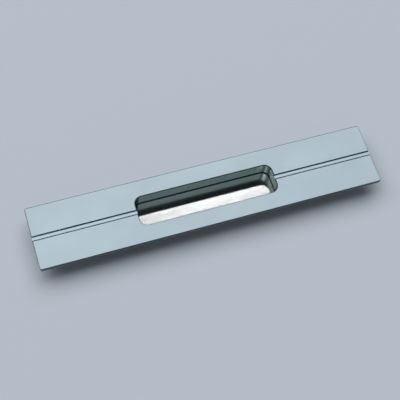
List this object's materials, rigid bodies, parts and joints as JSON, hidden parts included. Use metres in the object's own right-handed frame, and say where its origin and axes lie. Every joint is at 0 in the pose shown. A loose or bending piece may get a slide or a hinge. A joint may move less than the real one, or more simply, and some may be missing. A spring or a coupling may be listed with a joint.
{
  "type": "recessed pull handle",
  "caption": "Flush pull handle: a long flat satin face plate with a rounded rectangular finger recess in its middle and a fine strip let in along the face.",
  "frame": {"origin": "centred under the handle, on the flat underside of the recess floor", "axes": "+X along the plate, +Y across it, +Z out of the face towards the user"},
  "size_m": [0.22, 0.041, 0.0134],
  "materials": {
    "satin_plate": "satin anodised, fine grain",
    "polished_floor": "lightly polished",
    "screw_steel": "zinc plated",
    "strip_metal": "satin anodised, brighter than the plate"
  },
  "bodies": {
    "root": {"handle_body": "satin_plate", "recess_floor": "polished_floor", "floor_screws": "screw_steel", "centre_strips": "strip_metal"}
  },
  "joints": []
}
